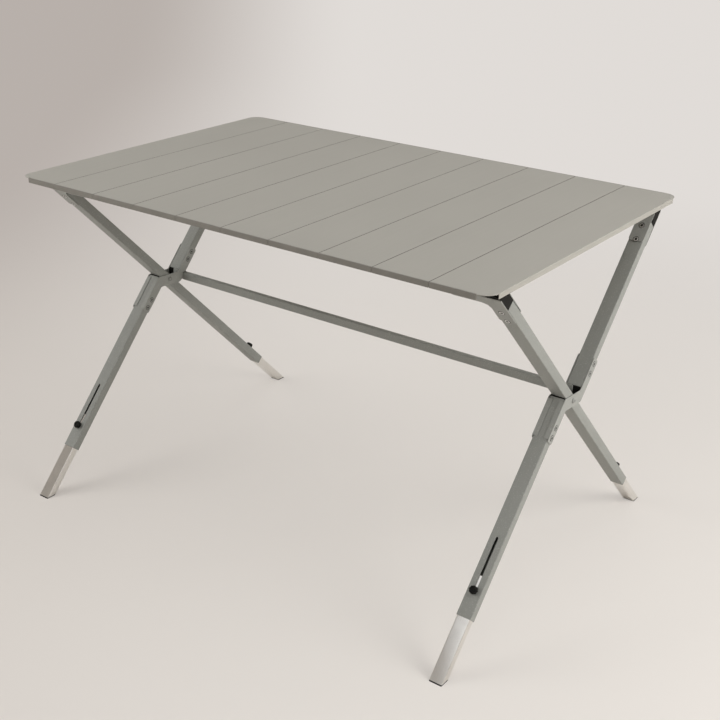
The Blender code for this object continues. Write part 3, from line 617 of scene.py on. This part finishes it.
def new_tree(name, sizes):
    """A geometry tree with a geometry input and output, and one named input for each size."""
    tree = bpy.data.node_groups.new(name, "GeometryNodeTree")
    tree.interface.new_socket("Geometry", in_out="INPUT", socket_type="NodeSocketGeometry")
    for size, kind in sizes:
        tree.interface.new_socket(size, in_out="INPUT", socket_type=kind)
    tree.interface.new_socket("Geometry", in_out="OUTPUT", socket_type="NodeSocketGeometry")
    nodes = Nodes(tree)
    source = tree.nodes.new("NodeGroupInput")
    return nodes, {socket.name: Link(nodes, socket) for socket in source.outputs if socket.name}


def stand_on_points(nodes, points, shape):
    """Stand a shape on each point, turned so that its Z follows the point's facing."""
    facing = nodes.add("GeometryNodeInputNamedAttribute", {"data_type": "FLOAT_VECTOR"},
                       {"Name": "facing"})
    turn = nodes.add("FunctionNodeAlignRotationToVector", {"axis": "Z"}, {"Vector": facing})
    placed = nodes.add("GeometryNodeInstanceOnPoints",
                       inputs={"Points": points, "Instance": shape, "Rotation": turn})
    return nodes.add("GeometryNodeRealizeInstances", inputs={"Geometry": placed})


def join(nodes, *parts):
    """Join several geometries."""
    node = nodes.tree.nodes.new("GeometryNodeJoinGeometry")
    for part in parts:
        nodes.tree.links.new(part.socket, node.inputs[0])
    return Link(nodes, node.outputs[0])


def output(nodes, result):
    """End a tree with its result, and give back the tree."""
    nodes.feed(nodes.tree.nodes.new("NodeGroupOutput"), {0: result})
    return nodes.tree


def rivet_tree(ring_material, pin_and_shadow_material):
    """Blind rivets: a low domed ring round the dark end of the broken pin, with a ring of painted shadow
    round it.
    """
    nodes, given = new_tree("blind_rivets", [("Size", "NodeSocketFloat"), ("Core", "NodeSocketFloat"),
                                             ("Height", "NodeSocketFloat"), ("Sides", "NodeSocketInt")])
    path = nodes.add("GeometryNodeCurvePrimitiveCircle", {"mode": "RADIUS"},
                     {"Resolution": given["Sides"], "Radius": (given["Size"] + given["Core"]) / 4.0})
    section = nodes.add("GeometryNodeCurvePrimitiveCircle", {"mode": "RADIUS"},
                        {"Resolution": RIVET_SECTION_SIDES,
                         "Radius": (given["Size"] - given["Core"]) / 4.0})
    ring = nodes.add("GeometryNodeCurveToMesh", inputs={"Curve": path, "Profile Curve": section})
    flat = nodes.add("ShaderNodeCombineXYZ",
                     inputs={0: 1.0, 1: 1.0, 2: given["Height"] * 4.0 / (given["Size"] - given["Core"])})
    dome = nodes.add("GeometryNodeTransform", inputs={"Geometry": ring, "Scale": flat})
    smooth = nodes.add("GeometryNodeSetShadeSmooth", inputs={"Geometry": dome})
    pin = nodes.add("GeometryNodeMeshCylinder", {"fill_type": "NGON"},
                    {"Vertices": RIVET_PIN_SIDES, "Radius": given["Core"] * RIVET_PIN[0],
                     "Depth": given["Height"] * RIVET_PIN[1]})
    # Painted shadow: a thin dark disc, a little wider than the flange, round the rivet's foot.
    shadow_ring = nodes.add("GeometryNodeMeshCylinder", {"fill_type": "NGON"},
                     {"Vertices": given["Sides"], "Radius": given["Size"] * RIVET_SHADOW_RING[0],
                      "Depth": given["Height"] * RIVET_SHADOW_RING[1]})
    dark = nodes.add("GeometryNodeStoreNamedAttribute", {"data_type": "BOOLEAN", "domain": "FACE"},
                     {"Geometry": join(nodes, pin, shadow_ring), "Name": "core", "Value": True})
    placed = stand_on_points(nodes, given["Geometry"], join(nodes, smooth, dark))
    ringed = nodes.add("GeometryNodeSetMaterial", inputs={"Geometry": placed, "Material": ring_material})
    core = nodes.add("GeometryNodeInputNamedAttribute", {"data_type": "BOOLEAN"}, {"Name": "core"})
    done = nodes.add("GeometryNodeSetMaterial",
                     inputs={"Geometry": ringed, "Selection": core, "Material": pin_and_shadow_material})
    return output(nodes, done)


def end_cap_tree(material):
    """Flat caps with rounded corners, one on each point."""
    nodes, given = new_tree("slat_end_caps", [(size, "NodeSocketFloat")
                                              for size in ("Width", "Height", "Depth", "Rounding")])
    border = nodes.add("GeometryNodeCurvePrimitiveQuadrilateral", {"mode": "RECTANGLE"},
                       {"Width": given["Width"], "Height": given["Height"]})
    eased = nodes.add("GeometryNodeFilletCurve", {"mode": "POLY"},
                      {"Curve": border, "Radius": given["Rounding"], "Count": 3, "Limit Radius": True})
    back = nodes.add("GeometryNodeFillCurve", {"mode": "NGONS"}, {"Curve": eased})
    up = nodes.add("ShaderNodeCombineXYZ", inputs={2: given["Depth"]})
    front = nodes.add("GeometryNodeExtrudeMesh", {"mode": "FACES"},
                      {"Mesh": back, "Offset": up, "Offset Scale": 1.0, "Individual": False})
    turned = nodes.add("GeometryNodeFlipFaces", inputs={"Mesh": back})
    shell = nodes.add("GeometryNodeMergeByDistance",
                      inputs={"Geometry": join(nodes, front, turned), "Distance": MERGE_STEP})
    placed = stand_on_points(nodes, given["Geometry"], shell)
    done = nodes.add("GeometryNodeSetMaterial", inputs={"Geometry": placed, "Material": material})
    return output(nodes, done)


def quarter_turn(steps):
    """The angles of a quarter circle, both ends included."""
    return [math.pi / 2 * k / steps for k in range(steps + 1)]


def circle(mesh, radius, height, sides):
    """New corners round the Z axis, or the one on it where the radius is zero."""
    if radius == 0.0:
        return [mesh.verts.new((0.0, 0.0, height))]
    turns = [2 * math.pi * k / sides for k in range(sides)]
    return [mesh.verts.new((radius * math.cos(t), radius * math.sin(t), height)) for t in turns]


def join_loops(mesh, loops):
    """Faces from each loop of corners to the next one."""
    for low, high in zip(loops, loops[1:]):
        for k in range(len(low)):
            mesh.faces.new((low[k - 1], low[k], high[k], high[k - 1]))


def turned_mesh(name, profile, place, axis, sides=32):
    """Turn a profile of (radius, height) about an axis through a place; both ends lie on the axis."""
    mesh = bmesh.new()
    rings = [circle(mesh, radius, height, sides) for radius, height in profile]
    for low, high in zip(rings, rings[1:]):
        for k in range(sides):
            corners = [low[k % len(low)], low[(k + 1) % len(low)],
                       high[(k + 1) % len(high)], high[k % len(high)]]
            mesh.faces.new([vert for j, vert in enumerate(corners) if vert not in corners[:j]])
    bmesh.ops.recalc_face_normals(mesh, faces=mesh.faces)
    seat = Matrix.Translation(place) @ Vector(axis).to_track_quat("Z", "Y").to_matrix().to_4x4()
    bmesh.ops.transform(mesh, matrix=seat, verts=mesh.verts)
    return smooth_mesh(mesh, name, 30.0)


def cap_line_of_slats():
    """How far the end caps' inner faces lie from the top's middle, which is where slat 2 stops."""
    low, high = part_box("slat_02")
    return (high.y - low.y) / 2


class TablePiece:
    """What the operators of the table share."""

    bl_options = {"REGISTER", "UNDO"}

    @property
    def table(self):
        return bpy.context.scene.camping_table


class TABLE_OT_slats(TablePiece, bpy.types.Operator):
    """Make the ten slats with rounded edges and satin paint"""

    bl_idname = "camping_table.slats"
    bl_label = "Slats"

    def execute(self, context):
        top = self.table.top
        paint = surface("slat_paint", slat_paint, top.paint)
        cap_line = cap_line_of_slats()
        for k in range(1, SLAT_COUNT + 1):
            node = f"slat_{k:02d}"
            low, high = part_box(node)
            middle = middle_of(node).y
            mesh = merged_copy(node)
            round_edges(mesh, top.edge, kept=lambda edge: all(
                abs(abs(vert.co.y - middle) - cap_line) < CAD_STEP for vert in edge.verts))
            sides = [low.x] * (k > 1) + [high.x] * (k < SLAT_COUNT)
            joint_layer = mesh.faces.layers.float.new("joint")
            for face in mesh.faces:
                x = face.calc_center_median().x
                face[joint_layer] = float(any(abs(x - side) < 2 * top.edge for side in sides))
            dressed_node(mesh, node, paint)
        return {"FINISHED"}


class TABLE_OT_end_caps(TablePiece, bpy.types.Operator):
    """Close both ends of every slat with a cap"""

    bl_idname = "camping_table.end_caps"
    bl_label = "Slat end caps"

    def execute(self, context):
        top = self.table.top
        # The caps' darker grey is painted shade on the slats' end faces.
        plastic = surface("grey_plastic", moulded_plastic, top.cap)
        tree = end_cap_tree(plastic)
        cap_line = cap_line_of_slats()
        low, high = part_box("slat_01")
        depth = (high.y - low.y) / 2 - cap_line
        for k in range(1, SLAT_COUNT + 1):
            node = f"slat_{k:02d}"
            start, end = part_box(node)
            left = start.x + (CORNER_RADIUS if k == 1 else 0.0)
            right = end.x - (CORNER_RADIUS if k == SLAT_COUNT else 0.0)
            middle = Vector(((left + right) / 2, (start.y + end.y) / 2, (start.z + end.z) / 2))
            seeds = [(middle + Vector((0.0, sign * cap_line, 0.0)), (0.0, sign, 0.0))
                     for sign in (-1.0, 1.0)]
            sizes = {"Width": right - left, "Height": end.z - start.z, "Depth": depth,
                     "Rounding": top.cap_rounding}
            data = instanced(f"slat_end_caps_{k:02d}", tree, seeds, sizes)
            piece = link_piece(data.name, data, body_of(node), [plastic])
            ease = piece.modifiers.new("Ease", "BEVEL")
            ease.width = top.cap_ease
            ease.segments = 2
            ease.limit_method = "ANGLE"
        return {"FINISHED"}


class TABLE_OT_corner_caps(TablePiece, bpy.types.Operator):
    """Line the recess under each rounded corner of the top with a black cap"""

    bl_idname = "camping_table.corner_caps"
    bl_label = "Corner caps"

    def execute(self, context):
        plastic = black_plastic(self.table)
        for end in ENDS:
            for side in SIDES:
                rounded_copy(f"corner_cap_{end}_{side}", CORNER_CAP_EDGE, plastic)
        return {"FINISHED"}


class TABLE_OT_tubes(TablePiece, bpy.types.Operator):
    """Make legs, rails and crossbar with rounded edges and textured paint"""

    bl_idname = "camping_table.tubes"
    bl_label = "Legs, rails and crossbar"

    def execute(self, context):
        names = ["crossbar", "rail_near", "rail_far"]
        names += [f"{leg}_{side}" for leg in ("leg_a", "leg_b_upper", "leg_b_lower") for side in SIDES]
        for name in names:
            rounded_copy(name, self.table.legs.edge, leg_finish(name, self.table))
        return {"FINISHED"}


class TABLE_OT_plates(TablePiece, bpy.types.Operator):
    """Make the stamped plates at the corners and hubs"""

    bl_idname = "camping_table.plates"
    bl_label = "Corner and hub plates"

    def execute(self, context):
        names = [f"corner_{kind}_{end}_{side}"
                 for kind in ("plate", "strap") for end in ENDS for side in SIDES]
        names += [f"hub_plate_{face}_{side}" for face in ("outer", "inner") for side in SIDES]
        for name in names:
            rounded_copy(name, self.table.legs.plate_edge, leg_finish(name, self.table))
        return {"FINISHED"}


class TABLE_OT_hub_tabs(TablePiece, bpy.types.Operator):
    """Fold a tab from each inner hub plate over the inner half of the upper leg's plug"""

    bl_idname = "camping_table.hub_tabs"
    bl_label = "Hub tabs"

    def execute(self, context):
        fittings = self.table.fittings
        for side in SIDES:
            inner = leg_x(side) - OUT[side] * HUB_TAB_ROOT
            tip = leg_x(side) - OUT[side] * HUB_TAB_TIP
            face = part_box(f"hub_plug_upper_{side}")[0].y - HUB_TAB_GAP
            pivot = leg_point("near", 0.0, 0.0).z
            low, high = pivot + HUB_TAB_HEIGHTS[0], pivot + HUB_TAB_HEIGHTS[1]
            turn = fittings.tab_rounding
            corner = tip - OUT[side] * turn
            outline = [(inner, low), (tip, low)]
            outline += [(corner + OUT[side] * turn * math.cos(t), high - turn + turn * math.sin(t))
                        for t in quarter_turn(6)]
            outline.append((inner, high))
            mesh = bmesh.new()
            sheet = mesh.faces.new([mesh.verts.new((x, face - fittings.tab_sheet, z))
                                    for x, z in outline])
            walls = bmesh.ops.extrude_face_region(mesh, geom=[sheet])["geom"]
            bmesh.ops.translate(mesh, vec=(0.0, fittings.tab_sheet, 0.0),
                                verts=[item for item in walls if isinstance(item, bmesh.types.BMVert)])
            bmesh.ops.recalc_face_normals(mesh, faces=mesh.faces)
            round_edges(mesh, self.table.legs.plate_edge)
            data = smooth_mesh(mesh, f"hub_tab_{side}")
            link_piece(data.name, data, "frame_b", [leg_finish("hub_plate", self.table)])
        return {"FINISHED"}


class TABLE_OT_blocks(TablePiece, bpy.types.Operator):
    """Make the black corner blocks, hub plugs and foot plugs"""

    bl_idname = "camping_table.blocks"
    bl_label = "Black blocks and plugs"

    def execute(self, context):
        names = [f"{kind}_{end}_{side}"
                 for kind in ("corner_block", "foot_plug") for end in ENDS for side in SIDES]
        names += [f"hub_plug_{level}_{side}" for level in ("upper", "lower") for side in SIDES]
        for name in names:
            rounded_copy(name, self.table.legs.edge, black_plastic(self.table))
        return {"FINISHED"}


class TABLE_OT_pads(TablePiece, bpy.types.Operator):
    """Make the rubber pads on both rails"""

    bl_idname = "camping_table.pads"
    bl_label = "Rail pads"

    def execute(self, context):
        rubber = surface("pad_rubber", ribbed_rubber, self.table.legs.rubber)
        for end in ENDS:
            rounded_copy(f"rail_pad_{end}", PAD_EDGE, rubber)
        return {"FINISHED"}


class TABLE_OT_feet(TablePiece, bpy.types.Operator):
    """Make the polished inner tubes of the four feet"""

    bl_idname = "camping_table.feet"
    bl_label = "Foot tubes"

    def execute(self, context):
        for end, lean in (("far", LEG_LEAN["near"]), ("near", LEG_LEAN["far"])):
            bright = surface(f"polished_tube_{end}", polished_tube, self.table.fittings.bright, lean)
            for side in SIDES:
                rounded_copy(f"foot_{end}_{side}", self.table.legs.edge, bright)
        return {"FINISHED"}


class TABLE_OT_rivets(TablePiece, bpy.types.Operator):
    """Set the rivets of both frames"""

    bl_idname = "camping_table.rivets"
    bl_label = "Rivets"

    def execute(self, context):
        fittings = self.table.fittings
        ring = surface("rivet_metal", drawn_steel, fittings.steel, 0.22)
        core = surface("rivet_core_metal", broken_pin)
        sizes = {"Size": fittings.rivet_size, "Core": fittings.rivet_core,
                 "Height": fittings.rivet_height, "Sides": fittings.rivet_sides}
        painted = leg_finish("hub_plate", self.table)
        for name, body, seeds, metal in (("rivets_near", "frame_a", self.corner_seeds("near"), ring),
                                         ("rivets_far", "frame_b", self.corner_seeds("far"), ring),
                                         ("rivets_hub", "frame_b", self.hub_seeds(), painted)):
            data = instanced(name, rivet_tree(metal, core), seeds, sizes)
            link_piece(name, data, body, [metal, core])
        return {"FINISHED"}

    def corner_seeds(self, end):
        """Rivets through the leg's plates, on both faces, and through the rail's outer wall."""
        across = leg_across(end)
        outer = OUT[end]
        offset = LEG_OFFSET[end]
        seeds = []
        for side in SIDES:
            for drop in LEG_RIVETS_BELOW_RAIL:
                for face in (-1, 1):
                    place = leg_point(end, RAIL_LOW[end] - drop, offset + face * PLATE_FACE, leg_x(side))
                    seeds.append((place, across * face))
            for reach in RAIL_RIVETS_FROM_LEG:
                x = leg_x(side) - OUT[side] * reach
                place = leg_point(end, RAIL_LOW[end] + RAIL_RIVETS_UP, offset + outer * PLATE_FACE, x)
                seeds.append((place, across * outer))
        return seeds

    def hub_seeds(self):
        """Rivets through the hub plates, on both faces."""
        seeds = []
        for side in SIDES:
            for arm in (-1, 1):
                for along in HUB_RIVETS:
                    for face in (-1, 1):
                        x = leg_x(side) + face * HUB_PLATE_FACE
                        place = leg_point("far", arm * along, arm * LEG_OFFSET["far"], x)
                        seeds.append((place, (face, 0.0, 0.0)))
        return seeds


class TABLE_OT_pivots(TablePiece, bpy.types.Operator):
    """Make the two pivot pins with their domed heads, and the crossbar's end screws"""

    bl_idname = "camping_table.pivots"
    bl_label = "Pivots and bar screws"

    def execute(self, context):
        fittings = self.table.fittings
        metal = surface("pin_metal", drawn_steel, fittings.pin, 0.34)
        painted = leg_finish("hub_plate", self.table)
        seat = HUB_PLATE_FACE + PIVOT_GAP
        head = fittings.pivot_size / 2
        for side in SIDES:
            node = f"hub_pivot_{side}"
            low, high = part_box(node)
            dome = (high.x - low.x) / 2 - seat
            half = [(PIVOT_SHANK, seat)]
            half += [(head * radius, seat + dome * rise) for radius, rise in PIVOT_HEAD]
            profile = [(radius, -height) for radius, height in reversed(half)] + half
            data = turned_mesh(f"hub_pivot_{side}_turned", profile, middle_of(node), (1.0, 0.0, 0.0))
            link_piece(data.name, data, body_of(node), [painted], [node])
            self.bar_screw(side, metal)
        return {"FINISHED"}

    def bar_screw(self, side, metal):
        """A low domed screw head with a round socket, outside the inner hub plate."""
        out = OUT[side]
        place = leg_point("far", *BAR_SEAT, leg_x(side) - out * (HUB_PLATE_FACE - PLATE_SHEET))
        data = turned_mesh(f"bar_screw_{side}", SCREW_HEAD, place, (out, 0.0, 0.0), sides=24)
        link_piece(data.name, data, "frame_b", [metal])


class TABLE_OT_knobs(TablePiece, bpy.types.Operator):
    """Make the four lobed clamp knobs"""

    bl_idname = "camping_table.knobs"
    bl_label = "Clamp knobs"

    def execute(self, context):
        plastic = black_plastic(self.table)
        for end, line in (("far", "near"), ("near", "far")):
            for side in SIDES:
                node = f"knob_{end}_{side}"
                data = self.knob_mesh(node, leg_across(line) * OUT[end], self.table.fittings)
                link_piece(data.name, data, body_of(node), [plastic], [node])
        return {"FINISHED"}

    def knob_mesh(self, node, facing, fittings):
        """Rings of a lobed knob, from the stud's end up to its dished top."""
        corners = [vert.co for vert in frame["nodes"][node].data.vertices]
        top = max(corner.dot(facing) for corner in corners)
        flat = [corner for corner in corners if corner.dot(facing) > top - CAD_STEP / 10]
        centre = sum((corner.copy() for corner in flat), Vector()) / len(flat)
        across = Vector((1.0, 0.0, 0.0))
        along = facing.cross(across)
        height = fittings.knob_height
        half = fittings.knob_size / 2
        rings = [(radius, level, 0.0) for radius, level in KNOB_STUD]
        rings += [(half * radius, height * level, lobed) for radius, level, lobed in KNOB_BODY]
        mesh = bmesh.new()
        count = fittings.knob_lobes * KNOB_STEPS
        loops = []
        for radius, level, lobed in rings:
            loop = []
            for k in range(count):
                turn = 2 * math.pi * k / count
                valley = (1 - math.cos(fittings.knob_lobes * turn)) / 2
                reach = radius - KNOB_VALLEY * lobed * valley ** 2
                loop.append(mesh.verts.new(centre + facing * (level - height)
                                           + (across * math.cos(turn) + along * math.sin(turn)) * reach))
            loops.append(loop)
        join_loops(mesh, loops)
        mesh.faces.new(loops[0])
        mesh.faces.new(loops[-1])
        bmesh.ops.recalc_face_normals(mesh, faces=mesh.faces)
        return smooth_mesh(mesh, f"{node}_lobed", 50.0)


class TABLE_OT_stage(TablePiece, bpy.types.Operator):
    """Set the pale floor, the soft lights and the photograph's camera"""

    bl_idname = "camping_table.stage"
    bl_label = "Stage"

    def execute(self, context):
        stage = self.table.stage
        self.floor(stage)
        self.world(stage)
        for name, place, size in LAMPS:
            self.lamp(f"{name}_light", Vector(place), size, getattr(stage, name))
        self.camera()
        context.scene.view_settings.view_transform = "Standard"
        return {"FINISHED"}

    def floor(self, stage):
        """A round floor that curves up into a wall far behind the table."""
        flat, bend, wall, sides = 5.0, 2.5, 6.0, 96
        profile = [(flat + bend * math.sin(t), bend - bend * math.cos(t)) for t in quarter_turn(12)]
        profile.append((flat + bend, wall))
        mesh = bmesh.new()
        loops = [circle(mesh, radius, level, sides) for radius, level in profile]
        mesh.faces.new(loops[0])
        join_loops(mesh, loops)
        data = smooth_mesh(mesh, "studio_floor")
        floor = bpy.data.objects.new("studio_floor", data)
        bpy.context.scene.collection.objects.link(floor)
        data.materials.append(seamless_floor("seamless_floor", stage))

    def world(self, stage):
        """Even light from all round; polished metal sees a white room that is dark low on the left."""
        world = bpy.data.worlds.new("studio")
        world.use_nodes = True
        nodes = Nodes(world.node_tree)
        place = nodes.add("ShaderNodeTexCoord", output="Generated")
        room = 1.0 - DARK_SHARE * nodes.mask(nodes.along(place, DARK_SIDE), *DARK_RANGE)
        glossy = nodes.add("ShaderNodeLightPath", output="Is Glossy Ray")
        strength = stage.ambient + glossy * (room - stage.ambient)
        nodes.feed(world.node_tree.nodes["Background"], {"Color": ROOM_COLOUR, "Strength": strength})
        bpy.context.scene.world = world

    def lamp(self, name, place, size, power):
        data = bpy.data.lights.new(name, "AREA")
        data.size = size
        data.energy = power
        data.color = LAMP_COLOUR
        lamp = bpy.data.objects.new(name, data)
        bpy.context.scene.collection.objects.link(lamp)
        lamp.visible_glossy = False
        lamp.location = place
        lamp.rotation_euler = (LAMP_AIM - place).to_track_quat("-Z", "Y").to_euler()

    def camera(self):
        data = bpy.data.cameras.new("photo_camera")
        data.sensor_width = CAMERA_SENSOR
        data.lens = CAMERA_LENS
        data.shift_x, data.shift_y = CAMERA_SHIFT
        camera = bpy.data.objects.new("photo_camera", data)
        bpy.context.scene.collection.objects.link(camera)
        forward = Vector((math.sin(CAMERA_AZIMUTH) * math.cos(CAMERA_DOWN),
                          math.cos(CAMERA_AZIMUTH) * math.cos(CAMERA_DOWN), -math.sin(CAMERA_DOWN)))
        right = Vector((math.cos(CAMERA_AZIMUTH), -math.sin(CAMERA_AZIMUTH), 0.0))
        up = right.cross(forward)
        x = right * math.cos(CAMERA_ROLL) + up * math.sin(CAMERA_ROLL)
        y = up * math.cos(CAMERA_ROLL) - right * math.sin(CAMERA_ROLL)
        turn = Matrix((x, y, -forward)).transposed().to_4x4()
        camera.matrix_world = Matrix.Translation(CAMERA_PLACE) @ turn
        bpy.context.scene.camera = camera


OPERATORS = (TABLE_OT_slats, TABLE_OT_end_caps, TABLE_OT_corner_caps, TABLE_OT_tubes, TABLE_OT_plates,
             TABLE_OT_hub_tabs, TABLE_OT_blocks, TABLE_OT_pads, TABLE_OT_feet, TABLE_OT_rivets,
             TABLE_OT_pivots, TABLE_OT_knobs, TABLE_OT_stage)


class TABLE_PT_sidebar(bpy.types.Panel):
    """Lists the pieces of the camping table and their settings"""

    bl_idname = "TABLE_PT_sidebar"
    bl_label = "Camping table"
    bl_space_type = "VIEW_3D"
    bl_region_type = "UI"
    bl_category = "Table"

    def draw(self, context):
        table = context.scene.camping_table
        for group in (table.top, table.legs, table.fittings, table.stage):
            box = self.layout.box()
            for name in group.bl_rna.properties.keys():
                if name not in ("rna_type", "name"):
                    box.prop(group, name)
        for operator in OPERATORS:
            self.layout.operator(operator.bl_idname)


CLASSES = (TableTopSettings, LegFrameSettings, FittingSettings, StageSettings, CampingTableSettings,
           *OPERATORS, TABLE_PT_sidebar)


def register():
    for item in CLASSES:
        bpy.utils.register_class(item)
    bpy.types.Scene.camping_table = PointerProperty(type=CampingTableSettings)


def unregister():
    del bpy.types.Scene.camping_table
    for item in reversed(CLASSES):
        bpy.utils.unregister_class(item)


def main():
    register()
    for operator in OPERATORS:
        group, name = operator.bl_idname.split(".")
        getattr(getattr(bpy.ops, group), name)()


if __name__ == "__main__":
    main()
